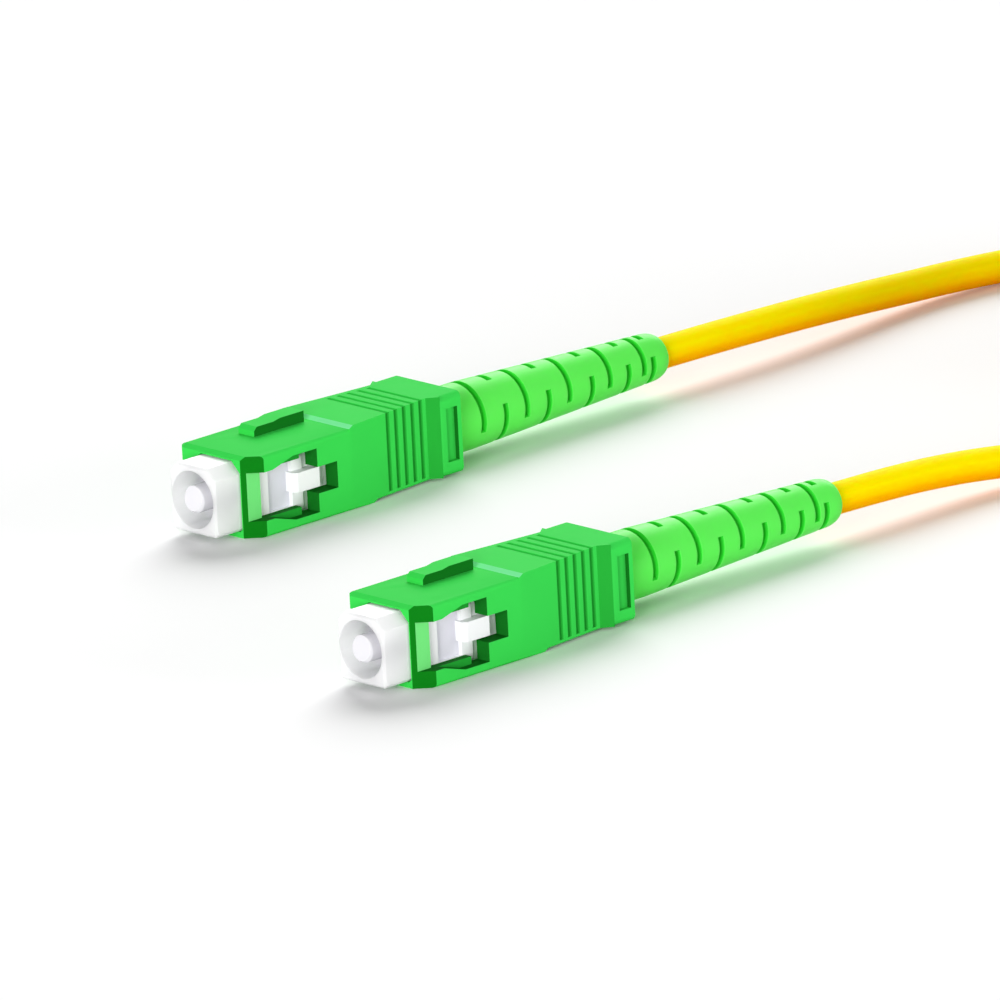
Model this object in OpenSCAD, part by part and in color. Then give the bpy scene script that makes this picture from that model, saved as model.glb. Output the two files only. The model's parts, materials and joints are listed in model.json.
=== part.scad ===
// Simplex fibre optic patch cord: two push-pull connectors with angled ferrules, slotted boots,
// and one round cable whose spare length is wound up and tied. All sizes are in millimetres.
// The connectors lie along X, noses toward -X, on the plane z = 0. Each is drawn in its own frame,
// with x = 0 at the front face of the grip and y = 0 in the middle.

/* [Grip] */
// Length of the sliding grip
grip_l = 25.5; // [25:0.1:26.5]
// Width of the grip at the front
grip_w = 9.0; // [8.8:0.1:9.2]
// Height of the grip at the front
grip_h = 7.4; // [7.3:0.1:7.6]
// How far the rear half of the grip stands above the front half
rear_rise = 0.25; // [0.1:0.05:0.3]
// How far the underside of the rear half stands off the surface
foot_rise = 0.25; // [0.1:0.05:0.3]
// Width of the ribbed waist at its narrow end
waist_w = 7.0; // [6.9:0.1:7.4]
// Number of grooves round the waist
rib_count = 5; // [3:1:5]
// Distance from groove to groove
rib_pitch = 1.1; // [0.9:0.05:1.1]
// Width of the polarity key
key_w = 2.0; // [1.6:0.1:2.4]
// Height of the polarity key
key_h = 1.0; // [0.7:0.05:1.1]
// How far the key stands from the middle of the top
key_y = 1.5; // [0:0.1:1.8]
// Travel of the grip each way
grip_travel = 1.0; // [0.6:0.1:1.0]

/* [Plug frame] */
// Width of the nose
frame_w = 5.7; // [5.6:0.05:5.8]
// Height of the nose
frame_h = 6.2; // [6.0:0.05:6.3]
// How far the nose stands out of the grip
nose_out = 3.0; // [2.4:0.1:3.4]
// Diameter of the bore round the ferrule
bore_d = 5.2; // [4.8:0.1:5.2]
// Height of the latch tab
tab_h = 1.8; // [1.4:0.1:2.0]

/* [Ferrule] */
// Diameter of the ferrule
ferrule_d = 2.5; // [2.5:0.1:2.5]
// Angle of the polished tip, in degrees
tip_angle = 8; // [0:1:9]
// How far the ferrule can be pushed back
ferrule_travel = 1.5; // [1.0:0.1:1.5]
// Curls of the spring
spring_turns = 6; // [4:1:7]

/* [Boot] */
// Radius of the boot at the grip
boot_r_front = 3.1; // [2.9:0.05:3.1]
// Radius of the boot near its tip
boot_r_rear = 2.2; // [1.9:0.05:2.3]
// Distance from the front of the grip to the end of the boot
boot_end = 53.2; // [53:0.1:56]
// Width of the slots
slot_w = 0.6; // [0.4:0.05:0.8]
// Depth of the slots
slot_depth = 0.5; // [0.3:0.05:0.55]
// Angle that each slot spans, in degrees
slot_span = 128; // [90:1:135]

/* [Cable] */
// Diameter of the jacket
cable_d = 2.9; // [2.6:0.1:3.0]
// Turns in each of the four layers of the coil
coil_turns = 4.0625; // [2.0625:0.25:4.0625]
// Distance from turn to turn
turn_pitch = 3.32; // [3.32:0.01:3.5]
// Radius of the innermost turn
coil_r_in = 9.95; // [9.9:0.05:11]
// Width of each tie
tie_w = 8; // [5:1:10]

/* [Layout] */
// How far connector a stands behind connector b, along X
pair_dx = 23; // [18:1:26]
// Distance between the two connectors, along Y
pair_dy = 45.4; // [40:0.2:50]

/* [Hidden] */
$fn = 48;
axis_z = grip_h / 2;        // height of the connector's axis
over = 1;                   // how far a cutter runs past what it cuts
cable_r = cable_d / 2;

// Connector places
tip_out = nose_out + 0.1;   // the ferrule's tip, in front of the grip
a_x = (pair_dx - boot_end + tip_out) / 2;
b_x = a_x - pair_dx;
a_y = pair_dy / 2;
b_y = -pair_dy / 2;

// Grip: stations along X
corner_l = 1.5;             // slanted front corner on the near side, along X
corner_w = 1.45;            // and across
far_corner = 0.2;           // the far side's front corner is nearly square
front_slope = 0.35;         // slope along the front's top edge
rise_x = 11.8;              // where the top rises to the rear half
foot_x = 14.6;              // where the underside is cut back
taper_x = 12;               // where the sides start to draw in
waist_end = 22;             // rear end of the waist
rib_x = 21.3;               // middle of the rearmost groove
collar_x = 23;              // front of the rear collar
collar_w = 8.5;
slant_l = 0.5;              // length of the small slopes at rise_x and foot_x
edge_r = 0.35;              // rounding of the long edges of the front half
collar_edge_r = 0.55;       // and of the collar's
key_x = 5.15;
key_l = 6.0;
key_step = 0.15;            // how much lower the front part of the key is
key_step_x = 7.5;           // where it starts to rise to the rear part
side_gap = 0.1;             // clearance round the plug frame
frame_half = frame_w / 2;
way_half = frame_half + side_gap;
way_half_h = frame_h / 2 + side_gap;
shoulder_x = 13.4;          // grip's shoulder, which stops the frame's flange
way_end = 18.6;             // rear end of the square way
flange_half = 3.15;         // half width of the frame's flange
boot_gap = 0.1;
top_z = grip_h + rear_rise;

// Grip: side window, drawn upward from the axis and mirrored
bridge_end = 1.95;
bridge_half = 3.4;          // half width over the front bridge
window_half = 2.2;          // half height of the window between the ledges
notch_x = 6.45;
notch_half = 2.9;
window_end = 7.85;
slot_half = 1.2;
slot_end = 10.2;
cam_x = 2.5;
cam_run = 2.5;              // length of the cam's slope
cam_half = 3.7;             // half width at the floor of the cam pocket

// Plug frame: stations along X
web_x = 3.4;                // end of the front bore
web_hole_r = 1.9;           // hole that leaves room for the mating sleeve
seat_x = 4.9;               // seat of the ferrule's flange
hex_end = 8.9;
frame_end = 17.5;
recess_end = 6.2;
relief_x = 7.5;             // front of the relief beside the tab
relief_depth = 0.25;
tab_x = 5.9;
tab_end = 9.15;
tab_out = 3.68;             // half width over the tabs
hex_flat = 4.4;             // across the flats of the seat's hexagon
cavity_r = 2.45;
snap_x = 15;                // windows that take the stop ring's barbs
snap_l = 1.6;
snap_w = 2.2;

// Ferrule, spring and post
ferrule_r = ferrule_d / 2;
ferrule_root_r = 1.05;      // radius of the part that sits in the flange
tip_r = 1;                  // radius of the tip in front of the chamfer
tip_chamfer = 0.35;
flange_flat = hex_flat - 0.2;
flange_x = seat_x + 0.05;
ferrule_end = 7.5;
flange_end = 7.6;
flange_tail = 9;            // rear end of the flange's tail, which centres the spring
tail_r = 1.45;
guide_r = 0.5;
guide_x = 7.7;
guide_end = 12.4;
spring_r = 1.85;            // radius to the middle of the wire
wire_r = 0.2;
post_x = 14.2;              // front face of the stop ring, where the spring ends
post_end = 23;
post_r = 1.75;
guide_room = 1.25;          // bore of the stop ring, into which the guide tube slides
crimp_x = 18.5;
crimp_step = 23.4;
crimp_end = 27.6;
jacket_x = 24;
fit_gap = 0.05;

// Boot
boot_x = 19.7;
cone_x = 29.5;
cone_end = 51.4;
tip_l = 1.6;                // length of the rounded end
tip_drop = min(0.65, boot_r_rear - cable_r - 0.15);     // how far it draws in
long_rings = [29.3, 34.8, 40.2, 45.35, 49.7];   // slots that face up and to the side
short_rings = [32.15, 37.6, 43.1, 47.75, 50.9]; // slots turned a quarter round from them
slot_tilt = 45;             // middle of the long slots, up from the side

// Coil: four layers, wound clockwise from the outside
coil_c = [94, -19];
tie_t = 0.5;
layers = 4;
layer_h = 2.95;
layer_z = tie_t + 0.05 + cable_r;
coil_r_out = coil_r_in + coil_turns * turn_pitch;
coil_total = layers * coil_turns;
ring_steps = 24;
climb = 0.5;                // turns taken to climb one layer
entry = [coil_c[0] + coil_r_out, coil_c[1] + cable_d, layer_z];
exit_z = layer_z + (layers - 1) * layer_h;
exit_end = [coil_c[0] - cable_d, coil_c[1] - coil_r_out, exit_z];
wound_sides = 6;
run_sides = 8;

// Routes of the free stretches, from each boot to the coil
route_a = [
    [a_x + boot_end, a_y, axis_z], [45, 22.65, 3.65], [51, 22.7, 3.5], [58, 22.95, 3.2], [65, 23.5, 2.7],
    [72, 24.1, 2.1], [79, 24.1, 1.7], [86, 22.9, 1.5], [93, 20.3, 1.5], [99.5, 16.4, 1.5],
    [105.3, 11.1, 1.5], [110.2, 4.8, 1.5], [113.9, -2.1, 1.6], [116.7, -9.3, 1.85],
    [117.4, -12.8, layer_z], entry
];
route_b = [
    [b_x + boot_end, b_y, axis_z], [24, -22.7, 3.5], [30, -22.6, 3.1], [36, -22.8, 2.5], [42, -24, 1.9],
    [48, -26.5, 1.6], [54, -30, 1.7], [59.6, -34, 2.5], [65, -37.5, 4.3], [70, -40.2, 6.7],
    [75, -41.8, 9], [80, exit_end[1], 10.5], [84.5, exit_end[1], exit_z], exit_end
];

// ---- Helpers ----

function unit(v) = v / norm(v);
function ease(s) = let (c = min(1, max(0, s))) c * c * (3 - 2 * c);

// One ring of a swept tube: n points round p, square to the direction t
function ring(p, t, r, n) =
    let (side = unit(cross(t, [0, 0, 1])), up = cross(side, t))
    [for (i = [0 : n - 1]) p + r * (cos(360 * i / n) * side + sin(360 * i / n) * up)];

// Direction of a route at its point i
function heading(path, i) =
    unit(path[min(i + 1, len(path) - 1)] - path[max(i - 1, 0)]);

// Closed tube through a list of rings of n points each
module skin(rings, n) {
    last = (len(rings) - 1) * n;
    walls = [for (i = [0 : len(rings) - 2], j = [0 : n - 1])
        let (a = i * n + j, b = i * n + (j + 1) % n) each [[a, b, b + n], [a, b + n, a + n]]];
    caps = [for (j = [1 : n - 2]) each [[0, j + 1, j], [last, last + j, last + j + 1]]];
    polyhedron([for (r = rings) each r], concat(walls, caps));
}

module sweep(path, r, n)
    skin([for (i = [0 : len(path) - 1]) ring(path[i], heading(path, i), r, n)], n);

// Least gap of a wound tube to itself, measured between the points of rings that are at least
// skip rings apart along the tube and whose first points lie within reach of each other
function least_gap(rings, skip, reach) = min([
    for (i = [0 : len(rings) - 1], j = [i + skip : 1 : len(rings) - 1])
        if (norm(rings[i][0] - rings[j][0]) < reach)
            min([for (p = rings[i], q = rings[j]) norm(p - q)])
]);

// Puts a connector's piece, drawn in the connector's own frame, in its place
module at_a() translate([a_x, a_y, 0]) children();
module at_b() translate([b_x, b_y, 0]) children();

// Turns a shape drawn along +Z so that it lies along +X on the connector's axis
module on_axis() translate([0, 0, axis_z]) rotate([90, 0, 90]) children();

// Revolves a profile of [x, radius] points about the connector's axis
module turned(profile)
    translate([0, 0, axis_z]) rotate([0, 90, 0])
        rotate_extrude() polygon([for (p = profile) [p[1], p[0]]]);

// Extrudes an outline drawn in X and Z across the connector, from y = y0 to y = y1
module across(y0, y1, outline)
    translate([0, y1, 0]) rotate([90, 0, 0]) linear_extrude(y1 - y0) polygon(outline);

// Makes a shape and its mirror image on the far side
module both_sides() {
    children();
    mirror([0, 1, 0]) children();
}

// Outline mirrored in the connector's axis: points of [x, half height], front to rear
function mirrored(points) = concat(
    [for (p = points) [p[0], axis_z - p[1]]],
    [for (i = [len(points) - 1 : -1 : 0]) [points[i][0], axis_z + points[i][1]]]
);

// Hexagonal prism, by its width across the flats, with a flat on each side
module hexagon(h, flat)
    rotate([0, 0, 30]) cylinder(h = h, d = flat / cos(30), $fn = 6);

// Tool that rounds a long edge to radius r: it runs along +X, the rounding's centre is its origin
module edge_tool(l, r)
    rotate([90, 0, 90]) linear_extrude(l) difference() {
        square(r + over);
        circle(r);
    }

// ---- Grip ----

function waist_at(x) = grip_w / 2 - (grip_w - waist_w) / 2 * (x - taper_x) / (waist_end - taper_x);

module grip_plan() {
    near = [[0, corner_w - grip_w / 2], [corner_l, -grip_w / 2]];
    far = [[far_corner, grip_w / 2], [0, grip_w / 2 - far_corner]];
    linear_extrude(top_z + key_h) polygon(concat(near, [
        [taper_x, -grip_w / 2], [waist_end, -waist_w / 2], [collar_x, -collar_w / 2],
        [grip_l, -collar_w / 2], [grip_l, collar_w / 2],
        [collar_x, collar_w / 2], [waist_end, waist_w / 2], [taper_x, grip_w / 2]
    ], far));
}

module grip_side()
    across(-grip_w, grip_w, [
        [0, 0], [foot_x, 0], [foot_x + slant_l, foot_rise], [grip_l, foot_rise], [grip_l, top_z],
        [rise_x + slant_l, top_z], [rise_x, grip_h], [front_slope, grip_h], [0, grip_h - front_slope]
    ]);

// Rounds the long edges of the front half and of the collar
module grip_edges()
    both_sides() {
        translate([0, grip_w / 2 - edge_r, grip_h - edge_r]) edge_tool(rise_x, edge_r);
        translate([0, grip_w / 2 - edge_r, edge_r]) mirror([0, 0, 1]) edge_tool(foot_x, edge_r);
        collar_y = collar_w / 2 - collar_edge_r;
        translate([collar_x, collar_y, top_z - collar_edge_r]) edge_tool(grip_l, collar_edge_r);
        translate([collar_x, collar_y, foot_rise + collar_edge_r])
            mirror([0, 0, 1]) edge_tool(grip_l, collar_edge_r);
    }

module key() {
    key_top = grip_h + key_h;
    low_top = key_top - key_step;
    sunk = 0.3;
    lead = 0.35;
    rise_l = 0.8;
    across(key_y - key_w / 2, key_y + key_w / 2, [
        [key_x, grip_h - sunk], [key_x, low_top - lead], [key_x + lead, low_top],
        [key_step_x, low_top], [key_step_x + rise_l, key_top],
        [key_x + key_l, key_top], [key_x + key_l, grip_h - sunk]
    ]);
}

// One groove round the waist, centred on x: up the near side, across the top and down the far
// side. It stops short of the far top edge and of the underside, so these edges stay straight.
module rib_groove(x) {
    depth = 0.25;
    top_depth = 0.12;
    mouth = 0.27;
    floor_w = 0.13;
    low = foot_rise + 0.25;
    stop = 0.5;
    w = waist_at(x);
    side = [
        [x - mouth, w + 0.05], [x + mouth, w + 0.05], [x + floor_w, w - depth], [x - floor_w, w - depth]
    ];
    translate([0, 0, low]) mirror([0, 1, 0]) linear_extrude(top_z) polygon(side);
    translate([0, 0, low]) linear_extrude(top_z - stop - low) polygon(side);
    across(-grip_w, w - stop, [
        [x - mouth, top_z + 0.05], [x + mouth, top_z + 0.05],
        [x + floor_w, top_z - top_depth], [x - floor_w, top_z - top_depth]
    ]);
}

// Cross section of the plug frame or, with a gap, of its way through the grip: the two upper
// corners are cut off more than the lower ones
function frame_section(half_w, half_h, upper, lower) = [
    [-half_w, -half_h + lower], [-half_w + lower, -half_h],
    [half_w - lower, -half_h], [half_w, -half_h + lower],
    [half_w, half_h - upper], [half_w - upper, half_h],
    [-half_w + upper, half_h], [-half_w, half_h - upper]
];
frame_upper = 1.0;
frame_lower = 0.3;

module frame_way() {
    translate([-over, 0, 0]) on_axis()
        linear_extrude(way_end + over)
            polygon(frame_section(way_half, way_half_h, frame_upper, frame_lower));
    translate([shoulder_x, 0, 0]) on_axis()
        linear_extrude(way_end - shoulder_x)
            polygon(frame_section(flange_half + side_gap, way_half_h, frame_upper, frame_lower));
}

// Window in each side: the latch shows through it, its ledges are the cams that spread the latch
module side_window() {
    y1 = grip_w / 2 + over;
    window = [
        [bridge_end, window_half], [notch_x, window_half], [notch_x, notch_half],
        [window_end, notch_half], [window_end, slot_half], [slot_end, slot_half]
    ];
    cam = [[cam_x, window_half], [cam_x + cam_run, notch_half], [notch_x + 0.1, notch_half]];
    both_sides() {
        across(frame_half, y1, mirrored(window));
        across(cam_half, y1, mirrored(cam));
        across(bridge_half, y1, mirrored([[-over, window_half], [bridge_end + 0.1, window_half]]));
    }
}

// Shallow pocket in each side of the rear collar
module collar_pocket()
    both_sides()
        translate([23.7, collar_w / 2 - 0.45, 1.5]) cube([1.35, over, 4.9]);

module grip()
    color([0.2, 0.8, 0.33]) difference() {
        union() {
            difference() {
                intersection() {
                    grip_plan();
                    grip_side();
                }
                grip_edges();
            }
            key();
        }
        frame_way();
        translate([way_end - 0.1, 0, 0]) on_axis() cylinder(h = grip_l, r = boot_r_front + boot_gap);
        side_window();
        collar_pocket();
        for (i = [0 : rib_count - 1]) rib_groove(rib_x - i * rib_pitch);
    }

// ---- Plug frame ----

// Half outline of the frame's length, with a bevel at the nose: points of [x, half size]
function bevelled_front(half, bevel) =
    [[-nose_out, half - bevel], [-nose_out + bevel, half], [frame_end, half]];

module plug_frame_body() {
    bevel = 0.2;
    intersection() {
        translate([-nose_out, 0, 0]) on_axis()
            linear_extrude(frame_end + nose_out)
                polygon(frame_section(frame_half, frame_h / 2, frame_upper, frame_lower));
        across(-frame_w, frame_w, mirrored(bevelled_front(frame_h / 2, bevel)));
        linear_extrude(grip_h)
            polygon([for (p = mirrored(bevelled_front(frame_half, bevel))) [p[0], p[1] - axis_z]]);
    }
    rear_x = shoulder_x + grip_travel;
    translate([rear_x, 0, 0]) on_axis()
        linear_extrude(frame_end - rear_x)
            polygon(frame_section(flange_half, frame_h / 2, frame_upper, frame_lower));
}

// Latch tab on each side, with a sloped front
module latch_tab()
    both_sides()
        translate([0, 0, axis_z - tab_h / 2])
            linear_extrude(tab_h) polygon([
                [tab_x, frame_half - 0.6], [tab_x, tab_out - 0.3], [tab_x + 0.3, tab_out],
                [tab_end - 0.35, tab_out], [tab_end, tab_out - 0.35], [tab_end, frame_half - 0.6]
            ]);

// Recess in front of the tab, where the mating latch drops in, and a relief above and below the tab
module latch_recess()
    both_sides() {
        translate([web_x, frame_half - 0.4, axis_z - window_half])
            cube([recess_end - web_x, over, 2 * window_half]);
        translate([relief_x, frame_half - relief_depth, axis_z - frame_h])
            cube([tab_end - relief_x, over, 2 * frame_h]);
    }

module plug_frame()
    color([0.95, 0.95, 0.97]) difference() {
        union() {
            difference() {
                plug_frame_body();
                latch_recess();
            }
            latch_tab();
        }
        translate([-nose_out - over, 0, 0]) on_axis() cylinder(h = web_x + nose_out + over, d = bore_d);
        on_axis() cylinder(h = seat_x + over, r = web_hole_r);
        translate([seat_x, 0, 0]) on_axis() hexagon(hex_end - seat_x, hex_flat);
        translate([hex_end - 0.1, 0, 0]) on_axis() cylinder(h = frame_end, r = cavity_r);
        translate([snap_x, -snap_w / 2, axis_z - frame_h]) cube([snap_l, snap_w, 2 * frame_h]);
    }

// ---- Ferrule group ----

module ferrule() {
    // The cone runs on past the tip, and the sloped cut takes its front off
    run_on = 0.4;
    cone = (ferrule_r - tip_r) / tip_chamfer;
    color([0.96, 0.96, 0.94]) difference() {
        turned([
            [-tip_out - run_on, 0], [-tip_out - run_on, tip_r - run_on * cone],
            [-tip_out + tip_chamfer, ferrule_r], [flange_x, ferrule_r], [flange_x, ferrule_root_r],
            [ferrule_end, ferrule_root_r], [ferrule_end, 0]
        ]);
        translate([-tip_out, 0, axis_z - tip_r]) rotate([0, tip_angle, 0])
            translate([-2 * ferrule_d, -ferrule_d, -ferrule_d])
                cube([2 * ferrule_d, 2 * ferrule_d, 3 * ferrule_d]);
    }
}

module ferrule_flange()
    color([0.75, 0.76, 0.78]) difference() {
        union() {
            translate([flange_x, 0, 0]) on_axis() hexagon(flange_end - flange_x, flange_flat);
            translate([flange_x, 0, 0]) on_axis() cylinder(h = flange_tail - flange_x, r = tail_r);
        }
        on_axis() cylinder(h = ferrule_end, r = ferrule_root_r);
        on_axis() cylinder(h = flange_tail + over, r = guide_r);
    }

module guide_tube()
    color([0.9, 0.92, 0.95, 0.9])
        turned([[guide_x, 0.3], [guide_x, guide_r], [guide_end, guide_r], [guide_end, 0.3]]);

// Compression spring, one wire wound about the axis
module spring() {
    x0 = flange_end + wire_r + 0.05;
    x1 = post_x - wire_r - 0.05;
    steps = spring_turns * 8;
    rings = [for (i = [0 : steps])
        let (phi = 360 * i / 8, out = [0, cos(phi), sin(phi)],
             c = [x0 + (x1 - x0) * i / steps, 0, axis_z] + spring_r * out)
        [for (k = [0 : wound_sides - 1])
            let (turn = 360 * k / wound_sides)
            c + wire_r * (cos(turn) * out + sin(turn) * [1, 0, 0])]];
    echo(spring_gap_mm = least_gap(rings, 4, 3 * (x1 - x0) / spring_turns));
    color([0.7, 0.72, 0.75]) skin(rings, wound_sides);
}

// ---- Post, crimp and cable end ----

module stop_ring() {
    groove = 0.12;
    ridges = [for (i = [0 : 5]) let (x = 18.6 + 0.7 * i)
        each [[x, post_r], [x + 0.2, post_r - groove], [x + 0.5, post_r - groove], [x + 0.6, post_r]]];
    body_r = cavity_r - fit_gap;
    rim_x = frame_end + fit_gap;
    rim_r = 2.8;
    rim_end = 18.2;
    barb_r = frame_h / 2 - 0.1;
    barb_half = snap_w / 2 - fit_gap;
    color([0.78, 0.78, 0.76]) {
        turned(concat(
            [[post_x, guide_room], [post_x, body_r], [rim_x, body_r], [rim_x, rim_r], [rim_end, rim_r],
             [rim_end, post_r]],
            ridges,
            [[post_end, post_r], [post_end, 0.8], [17, 0.8], [16, guide_room]]
        ));
        // Barbs above and below, sloped toward the front so that they snap into the frame
        for (flip = [0, 1]) translate([0, 0, axis_z]) mirror([0, 0, flip])
            across(-barb_half, barb_half, [
                [snap_x + 0.1, body_r - 0.3], [snap_x + 0.1, barb_r - 0.5], [snap_x + 1, barb_r],
                [snap_x + snap_l - 0.1, barb_r], [snap_x + snap_l - 0.1, body_r - 0.3]
            ]);
    }
}

// Strength yarn: a thin layer inside the jacket that flares out over the post
module aramid_yarn()
    color([0.95, 0.85, 0.35]) turned([
        [crimp_x, post_r + fit_gap], [post_end + 0.05, post_r + fit_gap], [jacket_x - 0.1, 0.5],
        [boot_end, 0.5], [boot_end, 0.9], [jacket_x + 0.1, 0.9], [jacket_x - 0.05, 1.1],
        [post_end + 0.35, post_r + 0.25], [crimp_x, post_r + 0.25]
    ]);

module crimp_ring() {
    wall = 0.35;
    wide = post_r + 0.3;
    thin = cable_r + fit_gap;
    color([0.8, 0.66, 0.4]) turned([
        [crimp_x - 0.1, wide], [crimp_step, wide], [crimp_step + 0.6, thin], [crimp_end, thin],
        [crimp_end, thin + wall], [crimp_step + 0.6, thin + wall], [crimp_step, wide + wall],
        [crimp_x - 0.1, wide + wall]
    ]);
}

module jacket_end()
    color([1, 0.84, 0]) turned([
        [jacket_x + 0.15, 0.95], [jacket_x + 0.15, cable_r], [boot_end, cable_r], [boot_end, 0.95]
    ]);

module buffer()
    color([0.93, 0.95, 0.9]) translate([14.4, 0, 0]) on_axis() cylinder(h = boot_end - 14.4, r = 0.45);

// ---- Boot ----

function boot_r(x) = x < cone_x ? boot_r_front
    : boot_r_front + (boot_r_rear - boot_r_front) * (x - cone_x) / (cone_end - cone_x);

// A blind slot round part of the boot, centred on the angle mid up from the side
module boot_slot(x, mid)
    translate([x - slot_w / 2, 0, axis_z]) rotate([0, 90, 0])
        rotate([0, 0, -90 - mid - slot_span / 2])
            rotate_extrude(angle = slot_span)
                translate([boot_r(x) - slot_depth, 0]) square([over, slot_w]);

module boot() {
    tip_steps = 8;
    tip = [for (i = [0 : tip_steps]) let (t = 90 * i / tip_steps)
        [boot_end - tip_l + tip_l * sin(t), boot_r(boot_end - tip_l) - tip_drop * (1 - cos(t))]];
    bore = cable_r + fit_gap;
    color([0.35, 0.94, 0.35]) difference() {
        turned(concat(
            [[boot_x, 2.45], [boot_x, boot_r_front - 0.2], [boot_x + 0.2, boot_r_front],
             [cone_x, boot_r_front]],
            tip,
            [[boot_end, bore], [crimp_end + 0.6, bore], [crimp_end + 0.3, 1.9], [crimp_step + 0.8, 1.9],
             [crimp_step + 0.2, 2.45]]
        ));
        for (side = [0, 180]) {
            for (x = long_rings) boot_slot(x, slot_tilt + side);
            for (x = short_rings) boot_slot(x, slot_tilt - 90 + side);
        }
    }
}

// ---- Cable ----

module cable_run(route)
    color([1, 0.84, 0]) sweep(route, cable_r, run_sides);

// Radius and height of the winding after t turns: it spirals in and out at one rate, and climbs a
// layer in the half turn where it reverses
function coil_r(t) =
    let (k = floor(t / coil_turns), f = t / coil_turns - k)
    k % 2 == 0 ? coil_r_out - f * coil_turns * turn_pitch : coil_r_in + f * coil_turns * turn_pitch;
function coil_h(t, k = 1) =
    k == layers ? layer_z
    : layer_h * ease((t - k * coil_turns) / climb + 0.5) + coil_h(t, k + 1);
function coil_point(t) =
    [coil_c[0] + coil_r(t) * cos(-360 * t), coil_c[1] + coil_r(t) * sin(-360 * t), coil_h(t)];

coil_steps = round(coil_total * ring_steps);
coil_mid = [for (i = [0 : coil_steps]) coil_point(min(i / ring_steps, coil_total))];
coil_first = ring(entry, [0, -1, 0], cable_r, wound_sides);
coil_last = ring(exit_end, [-1, 0, 0], cable_r, wound_sides);
coil_rings = concat(
    [coil_first, ring(coil_mid[0], [0, -1, 0], cable_r, wound_sides)],
    [for (i = [1 : coil_steps - 1]) ring(coil_mid[i], heading(coil_mid, i), cable_r, wound_sides)],
    [ring(coil_mid[coil_steps], [-1, 0, 0], cable_r, wound_sides), coil_last]
);

module cable_coil() {
    echo(coil_gap_mm = least_gap(coil_rings, ring_steps / 2, 1.4 * turn_pitch));
    color([1, 0.84, 0]) skin(coil_rings, wound_sides);
}

// A band round the winding's cross section, at one place on the coil
module cable_tie(turn) {
    inner = coil_r_in - cable_r - 0.9;
    outer = coil_r_out + cable_r + 0.9;
    top = layer_z + (layers - 1) * layer_h + cable_r + 0.1;
    corner = 1.5;
    color([0.12, 0.12, 0.13]) translate([coil_c[0], coil_c[1], 0]) rotate([0, 0, turn])
        translate([0, tie_w / 2, 0]) rotate([90, 0, 0]) linear_extrude(tie_w) difference() {
            band_outline(inner - tie_t, outer + tie_t, 0, top + tie_t, corner + tie_t);
            band_outline(inner, outer, tie_t, top, corner);
        }
}

// Rectangle with round corners, from (x0, z0) to (x1, z1)
module band_outline(x0, x1, z0, z1, r)
    translate([x0, z0]) {
        translate([r, 0]) square([x1 - x0 - 2 * r, z1 - z0]);
        translate([0, r]) square([x1 - x0, z1 - z0 - 2 * r]);
        for (x = [r, x1 - x0 - r], z = [r, z1 - z0 - r]) translate([x, z]) circle(r);
    }

// ---- Pieces ----

at_a() grip();  // grip_a
at_a() plug_frame();  // plug_frame_a
at_a() ferrule();  // ferrule_a
at_a() ferrule_flange();  // ferrule_flange_a
at_a() guide_tube();  // guide_tube_a
at_a() spring();  // spring_a
at_a() stop_ring();  // stop_ring_a
at_a() aramid_yarn();  // aramid_yarn_a
at_a() crimp_ring();  // crimp_ring_a
at_a() jacket_end();  // jacket_end_a
at_a() buffer();  // buffer_a
at_a() boot();  // boot_a

at_b() grip();  // grip_b
at_b() plug_frame();  // plug_frame_b
at_b() ferrule();  // ferrule_b
at_b() ferrule_flange();  // ferrule_flange_b
at_b() guide_tube();  // guide_tube_b
at_b() spring();  // spring_b
at_b() stop_ring();  // stop_ring_b
at_b() aramid_yarn();  // aramid_yarn_b
at_b() crimp_ring();  // crimp_ring_b
at_b() jacket_end();  // jacket_end_b
at_b() buffer();  // buffer_b
at_b() boot();  // boot_b

cable_run(route_a);  // cable_run_a
cable_coil();
cable_run(route_b);  // cable_run_b
cable_tie(120);  // cable_tie_1
cable_tie(300);  // cable_tie_2
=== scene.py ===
# %% [markdown]
# # A fibre optic patch cord
#
# The real object is one thin yellow cable with a green push-pull plug on each end. This lesson
# dresses a model whose shapes were built in CAD: it gives the moulded parts their soft edges, lays
# the cable as one smooth tube and paints every piece with a material made of nodes.
#
# The CAD model comes in first, as a frame that nothing here moves. Blender works in metres. The
# sizes below are written in millimetres, and MM turns them into metres.

# %% Load the frame
import bmesh
import bpy
import json
import math
from mathutils import Matrix, Vector


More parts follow.
